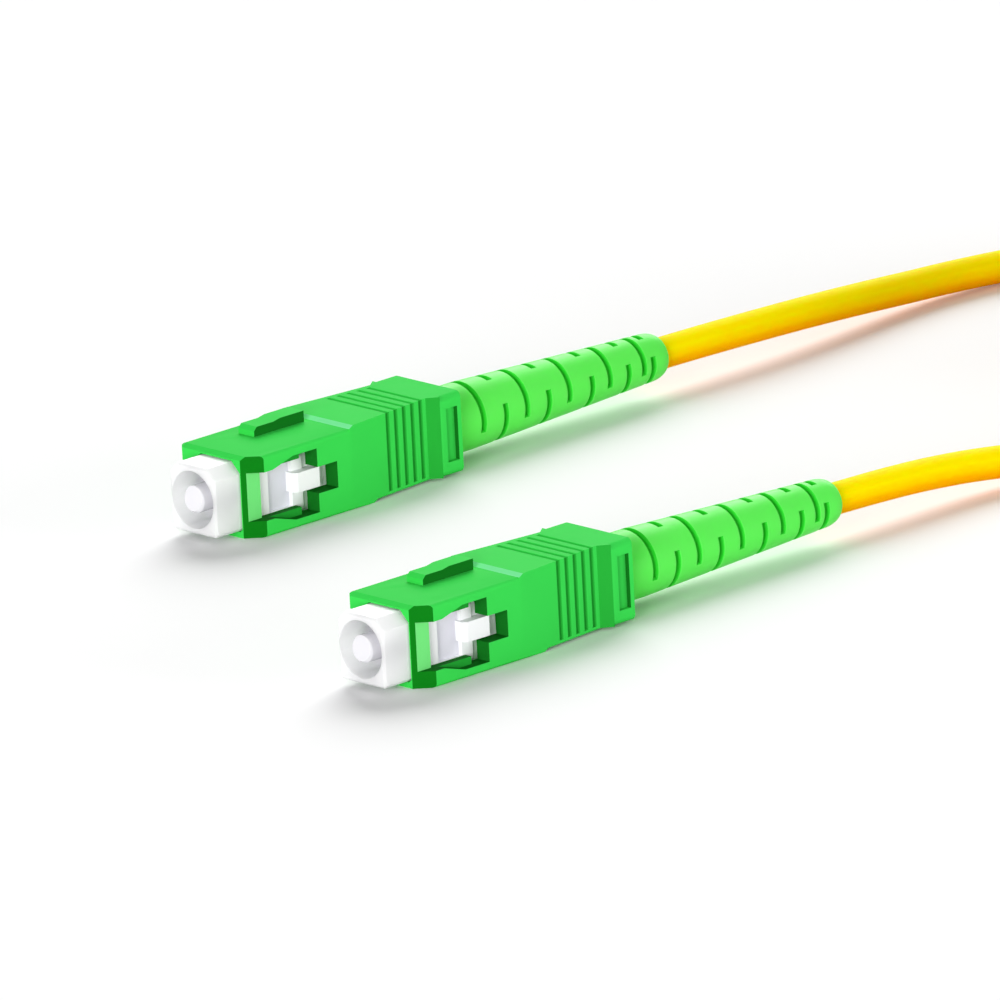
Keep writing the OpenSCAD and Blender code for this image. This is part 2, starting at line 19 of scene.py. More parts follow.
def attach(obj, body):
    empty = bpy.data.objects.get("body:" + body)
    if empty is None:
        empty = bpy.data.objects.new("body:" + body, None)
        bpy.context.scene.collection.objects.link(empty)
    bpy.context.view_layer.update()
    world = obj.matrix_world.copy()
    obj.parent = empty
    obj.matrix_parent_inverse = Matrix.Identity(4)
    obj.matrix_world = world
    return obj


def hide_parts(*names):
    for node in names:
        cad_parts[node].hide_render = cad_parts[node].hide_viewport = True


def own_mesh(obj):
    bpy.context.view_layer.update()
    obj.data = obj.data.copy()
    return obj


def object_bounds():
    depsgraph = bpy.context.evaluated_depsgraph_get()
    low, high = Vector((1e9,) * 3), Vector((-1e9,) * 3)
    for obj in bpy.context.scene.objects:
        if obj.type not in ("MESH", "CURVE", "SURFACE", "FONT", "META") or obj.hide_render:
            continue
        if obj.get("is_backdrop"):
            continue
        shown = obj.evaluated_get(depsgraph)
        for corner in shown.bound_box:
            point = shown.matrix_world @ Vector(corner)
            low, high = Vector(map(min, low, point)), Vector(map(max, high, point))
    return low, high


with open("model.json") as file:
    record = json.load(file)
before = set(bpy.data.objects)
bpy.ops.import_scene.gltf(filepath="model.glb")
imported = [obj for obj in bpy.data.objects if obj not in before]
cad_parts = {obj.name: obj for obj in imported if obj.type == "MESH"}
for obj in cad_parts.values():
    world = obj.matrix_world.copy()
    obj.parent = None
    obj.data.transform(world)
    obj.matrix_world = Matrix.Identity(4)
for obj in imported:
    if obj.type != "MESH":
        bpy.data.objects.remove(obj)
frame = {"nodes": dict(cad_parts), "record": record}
cad_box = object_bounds()
MM = 0.001
print("nodes in the frame:", len(frame["nodes"]))

# %% [markdown]
# ## Camera
#
# A product photographer stands well back with a long lens, so that two plugs at different depths
# look the same size. The camera looks down by 16 degrees, a little off the plugs' long axis, and
# leans by 3 degrees. Its matrix is written from the directions right, up and back, which keeps the
# lean separate from the aim.

# %% Camera
AIM = Vector((-1.15, 0, 4.0)) * MM
AZIMUTH, ELEVATION, LEAN = (math.radians(a) for a in (47.0, 16.15, -3.0))
STAND_BACK = 3.0
FOCAL_MM = 1241.9
SENSOR_MM = 36
NEAREST_SEEN, FARTHEST_SEEN = 0.05, 20

forward = Vector((
    math.cos(ELEVATION) * math.cos(AZIMUTH),
    math.cos(ELEVATION) * math.sin(AZIMUTH),
    -math.sin(ELEVATION),
))
level = forward.cross(Vector((0, 0, 1))).normalized()
above = level.cross(forward)
right = math.cos(LEAN) * level + math.sin(LEAN) * above
up = math.cos(LEAN) * above - math.sin(LEAN) * level

camera_data = bpy.data.cameras.new("camera")
camera_data.lens = FOCAL_MM
camera_data.sensor_width = SENSOR_MM
camera_data.clip_start = NEAREST_SEEN
camera_data.clip_end = FARTHEST_SEEN
camera = bpy.data.objects.new("camera", camera_data)
camera.matrix_world = Matrix.LocRotScale(
    AIM - STAND_BACK * forward, Matrix((right, up, -forward)).transposed(), None
)
bpy.context.scene.collection.objects.link(camera)
bpy.context.scene.camera = camera
print("camera at", [round(c, 3) for c in camera.location])

# %% [markdown]
# ## The cable's route
#
# The cable is one line from boot to boot: a free stretch, a coil that puts the spare length away,
# and a free stretch back. The coil has four layers. A layer spirals inward, the next one spirals
# outward on top of it, and the cable climbs from one to the next over half a turn, as it does when
# it is wound by hand. The numbers are the ones that the CAD model uses, so the tube lies in the
# same place.

# %% The coil
CABLE_D = 2.9
AXIS_Z = 3.7
PLUG_A = Vector((-13.55, 22.7, 0))
PLUG_B = Vector((-36.55, -22.7, 0))
ENDS = {"a": PLUG_A, "b": PLUG_B}
BOOT_END = 53.2
COIL_CENTRE = (94, -19)
COIL_R_IN = 9.95
TURN_PITCH = 3.32
LAYERS = 4
LAYER_TURNS = 4.0625
LAYER_H = 2.95
ROOM_FOR_TIE = 0.55
LAYER_Z = ROOM_FOR_TIE + CABLE_D / 2
CLIMB_TURNS = 0.5
POINTS_PER_TURN = 24
coil_r_out = COIL_R_IN + LAYER_TURNS * TURN_PITCH
coil_entry = Vector((COIL_CENTRE[0] + coil_r_out, COIL_CENTRE[1] + CABLE_D, LAYER_Z))
coil_exit = Vector((
    COIL_CENTRE[0] - CABLE_D, COIL_CENTRE[1] - coil_r_out, LAYER_Z + (LAYERS - 1) * LAYER_H
))


def clamp(value):
    return min(1.0, max(0.0, value))


def coil_radius(turn):
    layer, part = divmod(turn, LAYER_TURNS)
    inward = part * TURN_PITCH
    return coil_r_out - inward if layer % 2 == 0 else COIL_R_IN + inward


def coil_height(turn):
    climbed = 0
    for layer in range(1, LAYERS):
        s = clamp((turn - layer * LAYER_TURNS) / CLIMB_TURNS + 0.5)
        climbed += s * s * (3 - 2 * s)
    return LAYER_Z + LAYER_H * climbed


def coil_point(turn):
    angle = -2 * math.pi * turn
    radius = coil_radius(turn)
    return Vector((
        COIL_CENTRE[0] + radius * math.cos(angle),
        COIL_CENTRE[1] + radius * math.sin(angle),
        coil_height(turn),
    ))


coil_turns = LAYERS * LAYER_TURNS
# The last step stays just short of the end, where the spiral's layer number would step up
JUST_SHORT = 1e-9
coil_line = [
    coil_point(min(step / POINTS_PER_TURN, coil_turns - JUST_SHORT))
    for step in range(round(coil_turns * POINTS_PER_TURN) + 1)
]
print("turns in the coil:", coil_turns, "outer radius:", round(coil_r_out, 2), "mm")

# %% [markdown]
# ## The free stretches
#
# From each boot the cable sinks toward the table, pulled down by its own weight. The stretch from
# plug a then runs into the bottom layer of the coil, and the one from plug b climbs to the top
# layer. Their points are listed and run from the boot to the coil.

# %% Route of the cable
route_a = [
    PLUG_A + Vector((BOOT_END, 0, AXIS_Z)), Vector((45, 22.65, 3.65)), Vector((51, 22.7, 3.5)),
    Vector((58, 22.95, 3.2)), Vector((65, 23.5, 2.7)), Vector((72, 24.1, 2.1)),
    Vector((79, 24.1, 1.7)), Vector((86, 22.9, 1.5)), Vector((93, 20.3, 1.5)),
    Vector((99.5, 16.4, 1.5)), Vector((105.3, 11.1, 1.5)), Vector((110.2, 4.8, 1.5)),
    Vector((113.9, -2.1, 1.6)), Vector((116.7, -9.3, 1.85)), Vector((117.4, -12.8, LAYER_Z)),
    coil_entry,
]
route_b = [
    PLUG_B + Vector((BOOT_END, 0, AXIS_Z)), Vector((24, -22.7, 3.5)), Vector((30, -22.6, 3.1)),
    Vector((36, -22.8, 2.5)), Vector((42, -24, 1.9)), Vector((48, -26.5, 1.6)),
    Vector((54, -30, 1.7)), Vector((59.6, -34, 2.5)), Vector((65, -37.5, 4.3)),
    Vector((70, -40.2, 6.7)), Vector((75, -41.8, 9)), Vector((80, coil_exit[1], 10.5)),
    Vector((84.5, coil_exit[1], coil_exit[2])), coil_exit,
]
cable_line = [p * MM for p in route_a + coil_line + route_b[::-1]]

# %% [markdown]
# ## Laying the tube
#
# A Bezier curve runs through the points and a round bevel gives it thickness. The curve is then
# turned into a mesh, because a mesh keeps its place exactly when the model moves to another
# program. A point attribute grows from 0 to 1 round the tube toward its underside, where the
# jacket's yellow is painted a deeper orange: painted shade.

# %% Cable tube
# The upward part of the surface's direction where the painted shade on the underside starts, and
# the drop that fills it
UNDERSIDE_SHADE_STARTS, UNDERSIDE_SHADE_GROWS = 0.35, 0.9


def link(obj):
    bpy.context.scene.collection.objects.link(obj)
    return obj


def smooth_tube(name, points, diameter, sides, smoothness):
    """A tube along a smooth open curve through the points, as a mesh object."""
    line = bpy.data.curves.new(name, "CURVE")
    line.dimensions = "3D"
    line.bevel_depth = diameter / 2
    line.bevel_resolution = sides // 4 - 1
    line.resolution_u = smoothness
    line.use_fill_caps = True
    spline = line.splines.new("BEZIER")
    spline.bezier_points.add(len(points) - 1)
    for knot, p in zip(spline.bezier_points, points):
        knot.co = p
        knot.handle_left_type = knot.handle_right_type = "AUTO"
    curve = link(bpy.data.objects.new(name + "_line", line))
    laid = curve.evaluated_get(bpy.context.evaluated_depsgraph_get())
    mesh = bpy.data.meshes.new_from_object(laid)
    bpy.data.objects.remove(curve)
    mesh.name = name
    mesh.polygons.foreach_set("use_smooth", [True] * len(mesh.polygons))
    return link(bpy.data.objects.new(name, mesh))


def point_attribute(obj, name, value_at):
    values = [value_at(v) for v in obj.data.vertices]
    obj.data.attributes.new(name, "FLOAT", "POINT").data.foreach_set("value", values)


cable = smooth_tube("cable", cable_line, CABLE_D * MM, sides=24, smoothness=4)
# Painted shade: the jacket's colour turns orange toward the tube's underside
point_attribute(cable, "painted_underside_shade", lambda v: clamp((UNDERSIDE_SHADE_STARTS - v.normal.z) / UNDERSIDE_SHADE_GROWS))
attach(cable, "plugs_and_cable")
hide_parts("cable_run_a", "cable_coil", "cable_run_b")
print("cable laid from one boot to the other:", len(cable.data.polygons), "faces")

# %% [markdown]
# ## Softening the moulded parts
#
# A moulded plastic part has no knife edges: the tool that shaped it rounds every corner by a tenth
# of a millimetre or so, and these roundings are what catches the light. The grips and the white
# plug frames are copies of the CAD solids. Their loose triangles are merged, flat areas are joined
# into single faces, and a bevel by angle then rounds the edges that are left. Both plugs come out
# of the same mould, so the second one is the first one's copy, moved over.

# %% Softened copies
WELD_DISTANCE = 0.002
FLAT_ANGLE = math.radians(0.5)


def from_bmesh(name, shape):
    mesh = bpy.data.meshes.new(name)
    shape.to_mesh(mesh)
    shape.free()
    return link(bpy.data.objects.new(name, mesh))


def soften(obj, width, segments, angle=30):
    """Round the edges that turn by more than the angle, and shade the rest smooth."""
    obj.data.polygons.foreach_set("use_smooth", [True] * len(obj.data.polygons))
    obj.data.set_sharp_from_angle(angle=math.radians(angle))
    bevel = obj.modifiers.new("soft edges", "BEVEL")
    bevel.width = width * MM
    bevel.segments = segments
    bevel.limit_method = "ANGLE"
    bevel.angle_limit = math.radians(angle)
    bevel.miter_outer = "MITER_ARC"
    bevel.harden_normals = True
    return obj


def copy_of(node, name, shift=Vector()):
    """The CAD node's mesh as one welded shell with its flat areas joined, moved by mm."""
    shape = bmesh.new()
    shape.from_mesh(frame["nodes"][node].data)
    bmesh.ops.remove_doubles(shape, verts=shape.verts, dist=WELD_DISTANCE * MM)
    bmesh.ops.dissolve_limit(
        shape, angle_limit=FLAT_ANGLE, verts=shape.verts, edges=shape.edges, delimit=set()
    )
    bmesh.ops.translate(shape, vec=shift * MM, verts=shape.verts)
    return from_bmesh(name, shape)


grips, bodies = {}, {}
for end, corner in ENDS.items():
    grips[end] = copy_of("grip_a", f"grip_shell_{end}", corner - PLUG_A)
    bodies[end] = copy_of("plug_frame_a", f"frame_shell_{end}", corner - PLUG_A)
print("faces of a grip:", len(grips["a"].data.polygons))
print("faces of a plug frame:", len(bodies["a"].data.polygons))

# %% [markdown]
# ## Where shade and light are painted
#
# Face attributes from 0 to 1 mark where shade or light is painted into the colour. On the grips,
# one marks the walls of the windows and pockets and the sides of the key for painted shade. Another
# marks the slanted front corners, the front of the collar, the sides of the grooves and the ramps
# in the windows, also for painted shade. A third marks the bridge over a window's front, painted
# lighter as if the white frame shone through it, and a fourth the small step on the top, which gets
# a painted highlight. On the white frames, one marks the hollow beside the tab for painted shade,
# and "along" says how far behind the grip's front each point lies.
#
# A face is found by the box round it and by the direction that it faces.

# %% Looking for faces
# How much of a face's normal lies along an axis: 0 is edge on to it and 1 is square on
EDGE_ON, SLANTED, MOSTLY_UP, SQUARE_ON, DEAD_SQUARE = 0.3, 0.5, 0.7, 0.9, 0.95


def mark(obj, end, name, test):
    """A face attribute: how much each face has of something, by its box and its normal."""
    values = []
    for face in obj.data.polygons:
        points = [obj.data.vertices[i].co / MM - ENDS[end] for i in face.vertices]
        low = Vector([min(p[axis] for p in points) for axis in range(3)])
        high = Vector([max(p[axis] for p in points) for axis in range(3)])
        values.append(float(test(low, high, face.normal)))
    obj.data.attributes.new(name, "FLOAT", "FACE").data.foreach_set("value", values)
    return round(sum(values), 2)


def within(low, high, span):
    return span[0] < low and high < span[1]


def nearest_y(low, high):
    """How far a box stays from the plug's middle, where it doesn't reach across it."""
    return min(abs(low.y), abs(high.y))


print("square on means within", round(math.degrees(math.acos(SQUARE_ON))), "degrees of an axis")

# %% Marks on the grips
# Places on a plug in mm: X from the grip's front, Y from the plug's middle, Z from the floor
WINDOW_X, WINDOW_Y, WINDOW_Z = (0.3, 10.3), 2.8, (0.6, 6.85)
POCKET_X, POCKET_Y = (23.6, 25.1), 3.7
KEY_X, KEY_FOOT_Z, KEY_TOP_Z = (5, 11.3), AXIS_Z * 2 - 0.01, 7.9
CORNER_BACK_X = 1.6
COLLAR_X = (21.9, 23.1)
GROOVES_X, GROOVE_WIDTH = (16.5, 21.7), 0.35
RAMP_X, RAMP_Y = (2.2, 7), (3.6, 3.8)
BRIDGE_X, BRIDGE_Y = (0.2, 2.2), (3.3, 3.5)
STEP_X = (11.7, 12.4)
# How much painted shade the four places get, from 0 to 1
CORNER_PAINTED_SHADE, COLLAR_PAINTED_SHADE, GROOVE_PAINTED_SHADE, RAMP_PAINTED_SHADE = 0.9, 0.55, 0.5, 0.6


# Painted shade: the walls of the windows and pockets and the sides of the key get a darker colour
def painted_wall_shade_faces(low, high, normal):
    in_window = within(low.x, high.x, WINDOW_X) and within(low.z, high.z, WINDOW_Z)
    window = in_window and abs(normal.y) < EDGE_ON and nearest_y(low, high) > WINDOW_Y
    in_pocket = within(low.x, high.x, POCKET_X) and nearest_y(low, high) > POCKET_Y
    pocket = in_pocket and abs(normal.x) > SQUARE_ON
    on_key = within(low.x, high.x, KEY_X) and low.z > KEY_FOOT_Z and high.z > KEY_TOP_Z
    key = on_key and abs(normal.y) > SQUARE_ON
    return window or pocket or key


# Painted shade: the slanted front corners, the collar's front, the sides of the grooves and the
# ramps in the windows get a darker colour
def painted_facet_shade_faces(low, high, normal):
    corner = high.x < CORNER_BACK_X and -normal.x > SLANTED and -normal.y > SLANTED
    in_collar = within(low.x, high.x, COLLAR_X)
    collar = in_collar and abs(normal.z) < SLANTED and abs(normal.y) < DEAD_SQUARE
    in_groove = within(low.x, high.x, GROOVES_X) and high.x - low.x < GROOVE_WIDTH
    groove = in_groove and abs(normal.z) < SLANTED
    in_ramp = within(low.x, high.x, RAMP_X) and RAMP_Y[0] < nearest_y(low, high) < RAMP_Y[1]
    ramp = in_ramp and abs(normal.y) > SQUARE_ON
    return CORNER_PAINTED_SHADE * corner + COLLAR_PAINTED_SHADE * collar + GROOVE_PAINTED_SHADE * groove + RAMP_PAINTED_SHADE * ramp


# Painted light: the bridge over a window's front gets a lighter colour, as if the white frame shone
# through it
def thin_bridge(low, high, normal):
    on_floor = BRIDGE_Y[0] < nearest_y(low, high) < BRIDGE_Y[1] and abs(normal.y) > SQUARE_ON
    return on_floor and within(low.x, high.x, BRIDGE_X)


# Painted highlight: the small step on the top gets a paler colour
def painted_step_highlight_faces(low, high, normal):
    return within(low.x, high.x, STEP_X) and normal.z > MOSTLY_UP


GRIP_MARKS = {
    "painted_wall_shade": painted_wall_shade_faces, "thin": thin_bridge, "painted_facet_shade": painted_facet_shade_faces, "painted_step_highlight": painted_step_highlight_faces,
}
for end, grip in grips.items():
    marked = {name: mark(grip, end, name, test) for name, test in GRIP_MARKS.items()}
    print("marked on grip", end, marked)
    soften(grip, width=0.12, segments=3)
    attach(grip, f"grip_{end}")
    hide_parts(f"grip_{end}")

# %% Marks on the plug frames
RECESS_X, RECESS_Y = (3.2, 6.4), 2.6


# Painted shade: the floor of the hollow beside the tab gets a greyer, lavender colour
def painted_recess_shade_faces(low, high, normal):
    inside = within(low.x, high.x, RECESS_X) and max(abs(low.y), abs(high.y)) < RECESS_Y
    return inside and abs(normal.y) > SQUARE_ON


for end, body in bodies.items():
    print("marked on frame", end, mark(body, end, "painted_recess_shade", painted_recess_shade_faces))
    point_attribute(body, "along", lambda v: v.co.x / MM - ENDS[end].x)
    soften(body, width=0.09, segments=2)
    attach(body, "plugs_and_cable")
    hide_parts(f"plug_frame_{end}")

# %% [markdown]
# ## Turned parts
#
# The boot and the ferrule are round about the plug's axis, so each starts as half an outline that
# is spun once round it. The outline is a list of stations: a distance behind the front of the grip,
# and a radius.

# %% Lathe
MERGE_DISTANCE = 0.0005


def lathe(profile, segments, closed):
    """Spin an outline of (distance, radius) points in mm about the X axis, in metres."""
    shape = bmesh.new()
    points = [shape.verts.new((x * MM, 0, r * MM)) for x, r in profile]
    pairs = list(zip(points, points[1:]))
    if closed:
        pairs.append((points[-1], points[0]))
    edges = [shape.edges.new(pair) for pair in pairs]
    bmesh.ops.spin(
        shape, geom=points + edges, cent=(0, 0, 0), axis=(1, 0, 0), angle=2 * math.pi,
        steps=segments, use_merge=True, use_duplicate=False,
    )
    bmesh.ops.remove_doubles(shape, verts=shape.verts, dist=MERGE_DISTANCE * MM)
    bmesh.ops.recalc_face_normals(shape, faces=shape.faces)
    return shape


def at_plug(shape, end):
    """Move a shape from the X axis to the axis of one plug."""
    bmesh.ops.translate(shape, vec=(ENDS[end] + Vector((0, 0, AXIS_Z))) * MM, verts=shape.verts)
    return shape


print("ready to spin outlines about the plugs' axes, which are", AXIS_Z, "mm up")

# %% [markdown]
# ## Boots
#
# The boot is a soft sleeve that keeps the cable from kinking. Its slots are blind: they are pressed
# into the skin, each a little over a third of the way round, in two families a quarter turn apart,
# so that the sleeve bends evenly both ways. Here the skin is spun with a ring of vertices at both
# sides of every slot, and the faces of a slot are extruded and moved toward the axis. A face
# attribute remembers them, and inside a slot the colour is painted darker: painted shade.

# %% Boots
BOOT_START, CONE_START, CONE_END = 19.7, 29.5, 51.4
BOOT_R_FRONT, BOOT_R_REAR = 3.1, 2.2
FRONT_CHAMFER = 0.2
TIP_LENGTH, TIP_DROP, TIP_STEPS = 1.6, 0.6, 8
# The hollow follows the stepped crimp ring, with a wide mouth and a neck, and then the cable
MOUTH_R, MOUTH_END = 2.45, 23.6
NECK_R, NECK_START, NECK_END = 1.9, 24.2, 27.9
BORE_START = 28.2
BOOT_BORE = CABLE_D / 2 + 0.05
SLOT_WIDTH, SLOT_DEPTH, SLOT_SPAN = 0.6, 0.5, 128
LONG_SLOTS = [29.3, 34.8, 40.2, 45.35, 49.7]
SHORT_SLOTS = [32.15, 37.6, 43.1, 47.75, 50.9]
# Where each family's first row of slots has its middle, in degrees upward from the -Y side
LONG_AT, SHORT_AT = 45, -45
# How far below the skin a face can lie and still belong to it
SKIN_DEPTH = 0.1


def boot_radius(x):
    down = max(0, (x - CONE_START) / (CONE_END - CONE_START))
    return BOOT_R_FRONT + (BOOT_R_REAR - BOOT_R_FRONT) * down


def make_boot(end):
    slot_edges = [
        x + side * SLOT_WIDTH / 2 for x in LONG_SLOTS + SHORT_SLOTS for side in (-1, 1)
    ]
    front = [(BOOT_START, BOOT_R_FRONT - FRONT_CHAMFER), (BOOT_START + FRONT_CHAMFER, BOOT_R_FRONT)]
    skin = [(x, boot_radius(x)) for x in sorted([CONE_START] + slot_edges)]
    tip_start = BOOT_END - TIP_LENGTH
    tip = []
    for step in range(TIP_STEPS + 1):
        turn = math.radians(90 * step / TIP_STEPS)
        tip.append((
            tip_start + TIP_LENGTH * math.sin(turn),
            boot_radius(tip_start) - TIP_DROP * (1 - math.cos(turn)),
        ))
    inside = [
        (BOOT_END, BOOT_BORE), (BORE_START, BOOT_BORE), (NECK_END, NECK_R), (NECK_START, NECK_R),
        (MOUTH_END, MOUTH_R), (BOOT_START, MOUTH_R),
    ]
    shape = lathe(front + skin + tip + inside, segments=96, closed=True)
    # A face layer for the painted shade inside the slots
    shape.faces.layers.float.new("slot")
    for slots, middle in ((LONG_SLOTS, LONG_AT), (SHORT_SLOTS, SHORT_AT)):
        for x in slots:
            for half_turn in (0, 180):
                press_slot(shape, x, middle + half_turn)
    return from_bmesh(f"boot_sleeve_{end}", at_plug(shape, end))


def press_slot(shape, x, middle):
    """Push the skin's faces at station x in by the slot's depth, about the middle angle."""
    chosen = []
    for face in shape.faces:
        c = face.calc_center_median()
        off = (math.degrees(math.atan2(c.z, -c.y)) - middle + 180) % 360 - 180
        outer = math.hypot(c.y, c.z) > (boot_radius(x) - SKIN_DEPTH) * MM
        if abs(c.x - x * MM) < SLOT_WIDTH / 2 * MM and abs(off) < SLOT_SPAN / 2 and outer:
            chosen.append(face)
    pressed = bmesh.ops.extrude_face_region(shape, geom=chosen)["geom"]
    # The faces of a slot get painted shade: a darker colour inside the slot
    slot = shape.faces.layers.float["slot"]
    for v in (g for g in pressed if isinstance(g, bmesh.types.BMVert)):
        for face in v.link_faces:
            face[slot] = 1.0
        radius = math.hypot(v.co.y, v.co.z)
        v.co.y *= 1 - SLOT_DEPTH * MM / radius
        v.co.z *= 1 - SLOT_DEPTH * MM / radius
    bmesh.ops.delete(shape, geom=[f for f in chosen if f.is_valid], context="FACES_ONLY")


for end in ENDS:
    boot = soften(make_boot(end), width=0.06, segments=2, angle=35)
    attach(boot, "plugs_and_cable")
    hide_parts(f"boot_{end}")
    print("boot", end, "faces:", len(boot.data.polygons))

# %% [markdown]
# ## Ferrules
#
# The ferrule is a ceramic rod with a hair-thin hole for the fibre. Its tip is ground to a cone and
# then polished at 8 degrees, so light that bounces back leaves the fibre. The rod is spun a little
# too long, and one sloped cut takes off the front. The flange behind it, the metal post and the
# crimp ring are copies of the CAD solids that only need their edges softened.

# %% Ferrules
TIP_OUT, TIP_ANGLE = 3.1, math.radians(8)
FERRULE_R, TIP_R, TIP_CHAMFER = 1.25, 1.0, 0.35
SPARE = 0.4
# The rod's thinner rear sits in the flange
FLANGE_X, ROOT_R, ROD_END = 4.95, 1.05, 7.5


def make_ferrule(end):
    taper = (FERRULE_R - TIP_R) / TIP_CHAMFER
    shape = lathe([
        (-TIP_OUT - SPARE, 0), (-TIP_OUT - SPARE, TIP_R - SPARE * taper),
        (-TIP_OUT + TIP_CHAMFER, FERRULE_R), (FLANGE_X, FERRULE_R),
        (FLANGE_X, ROOT_R), (ROD_END, ROOT_R), (ROD_END, 0),
    ], segments=64, closed=False)
    cut = bmesh.ops.bisect_plane(
        shape, geom=shape.verts[:] + shape.edges[:] + shape.faces[:], dist=0,
        plane_co=(-TIP_OUT * MM, 0, -TIP_R * MM),
        plane_no=(-math.cos(TIP_ANGLE), 0, math.sin(TIP_ANGLE)), clear_outer=True,
    )
    rim = [g for g in cut["geom_cut"] if isinstance(g, bmesh.types.BMEdge)]
    bmesh.ops.contextual_create(shape, geom=rim)
    bmesh.ops.recalc_face_normals(shape, faces=shape.faces)
    return from_bmesh(f"ferrule_rod_{end}", at_plug(shape, end))


for end in ENDS:
    rod = soften(make_ferrule(end), width=0.04, segments=2, angle=12)
    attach(rod, f"ferrule_{end}")
    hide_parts(f"ferrule_{end}")
    for node, slot_name, body_name in (
        ("ferrule_flange", "flange_nickel", f"ferrule_{end}"),
        ("stop_ring", "post_metal", "plugs_and_cable"),
        ("crimp_ring", "crimp_brass", "plugs_and_cable"),
    ):
        metal = soften(copy_of(f"{node}_{end}", f"{node}_turned_{end}"), width=0.05, segments=2)
        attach(metal, body_name)
        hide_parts(f"{node}_{end}")
print("ferrules, flanges, posts and crimp rings made")

# %% [markdown]
# ## Springs
#
# A spring behind each ferrule presses it against its partner in the adapter. A real compression
# spring has closed ends: the first and the last coil lie flat, so that it pushes squarely. The wire
# is a tube along a helix whose pitch eases in and out. When the ferrule is pushed back, the real
# spring shortens toward the post.

# %% Springs
SPRING_FROM, SPRING_TO, SPRING_R, WIRE_R = 7.85, 13.95, 1.85, 0.2
SPRING_COILS, STEPS_PER_COIL = 6, 24
# How much tighter the end coils are: 0 for an even pitch, 1 for end coils that lie on each other
END_EASE = 0.45


def spring_line(end):
    line = []
    steps = SPRING_COILS * STEPS_PER_COIL
    for step in range(steps + 1):
        part = step / steps
        eased = part - math.sin(2 * math.pi * part) / (2 * math.pi) * END_EASE
        turn = 2 * math.pi * SPRING_COILS * part
        line.append((ENDS[end] + Vector((
            SPRING_FROM + (SPRING_TO - SPRING_FROM) * eased,
            SPRING_R * math.cos(turn), AXIS_Z + SPRING_R * math.sin(turn),
        ))) * MM)
    return line


for end in ENDS:
    spring = smooth_tube(
        f"spring_wire_{end}", spring_line(end), 2 * WIRE_R * MM, sides=12, smoothness=1
    )
    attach(spring, "plugs_and_cable")
    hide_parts(f"spring_{end}")
    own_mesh(spring)
print("two springs of", SPRING_COILS, "coils")

# %% [markdown]
# ## Ties
#
# The spare cable is held by two woven straps that wrap round the coil. A block gives the strap's
# inside, its long edges are rounded, its two open ends are taken off, and the skin that is left
# gets its thickness outward.

# %% Ties
TIE_WIDTH, TIE_THICK = 8.0, 0.5
TIE_ROOM, TIE_ROOM_ABOVE = 0.9, 0.1
TIE_CORNER, TIE_CORNER_STEPS = 1.5, 6


def make_tie(name, turn):
    low = COIL_R_IN - CABLE_D / 2 - TIE_ROOM
    high = coil_r_out + CABLE_D / 2 + TIE_ROOM
    top = LAYER_Z + (LAYERS - 1) * LAYER_H + CABLE_D / 2 + TIE_ROOM_ABOVE
    block = Vector((high - low, TIE_WIDTH, top - TIE_THICK)) * MM
    middle = Vector(((low + high) / 2, 0, (top + TIE_THICK) / 2)) * MM
    shape = bmesh.new()
    bmesh.ops.create_cube(shape, size=1)
    bmesh.ops.scale(shape, vec=block, verts=shape.verts)
    long_edges = [
        e for e in shape.edges
        if abs((e.verts[0].co - e.verts[1].co).normalized().y) > SQUARE_ON
    ]
    bmesh.ops.bevel(
        shape, geom=long_edges, offset=TIE_CORNER * MM, segments=TIE_CORNER_STEPS, profile=0.5,
        affect="EDGES", material=-1,
    )
    open_ends = [f for f in shape.faces if abs(f.normal.y) > SQUARE_ON]
    bmesh.ops.delete(shape, geom=open_ends, context="FACES_ONLY")
    bmesh.ops.recalc_face_normals(shape, faces=shape.faces)
    bmesh.ops.translate(shape, vec=middle, verts=shape.verts)
    spun = Matrix.Rotation(math.radians(turn), 3, "Z")
    bmesh.ops.rotate(shape, cent=(0, 0, 0), matrix=spun, verts=shape.verts)
    bmesh.ops.translate(shape, vec=Vector((*COIL_CENTRE, 0)) * MM, verts=shape.verts)
    tie = from_bmesh(name, shape)
    wall = tie.modifiers.new("strap", "SOLIDIFY")
    wall.thickness = TIE_THICK * MM
    wall.offset = 1
    wall.use_even_offset = True
    return soften(tie, width=0.12, segments=2, angle=40)


ties = []
for name, node, turn in (("tie_1", "cable_tie_1", 120), ("tie_2", "cable_tie_2", 300)):
    tie = make_tie(name, turn)
    ties.append(tie)
    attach(tie, "plugs_and_cable")
    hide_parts(node)
print(len(ties), "ties round the coil, and the cable declared")

# %% [markdown]
# ## Floor and sky
#
# Cut-out product pictures have a white ground with a soft shadow. The floor is a plain diffuse
# sheet, pale grey for the light that falls on it. Rays from the camera, and rays that a piece
# reflects or lets through, meet it white, so that it blends into the white sky around it and keeps
# the shadow.

# %% Floor and sky
FLOOR_HALF_WIDTH = 3.0
FLOOR_GREY = 0.8
FLOOR_SEEN = 1.0
SKY_FILL = 0.3
SEEN_RAYS = ["Is Camera Ray", "Is Glossy Ray", "Is Transmission Ray"]


def seen_level(tree, others, seen):
    """One level for the rays that show the background, and another for all other rays."""
    rays = tree.nodes.new("ShaderNodeLightPath")
    shows = rays.outputs[SEEN_RAYS[0]]
    for name in SEEN_RAYS[1:]:
        either = tree.nodes.new("ShaderNodeMath")
        either.operation = "MAXIMUM"
        tree.links.new(shows, either.inputs[0])
        tree.links.new(rays.outputs[name], either.inputs[1])
        shows = either.outputs[0]
    level = tree.nodes.new("ShaderNodeMapRange")
    level.inputs["To Min"].default_value = others
    level.inputs["To Max"].default_value = seen
    tree.links.new(shows, level.inputs["Value"])
    return level.outputs[0]


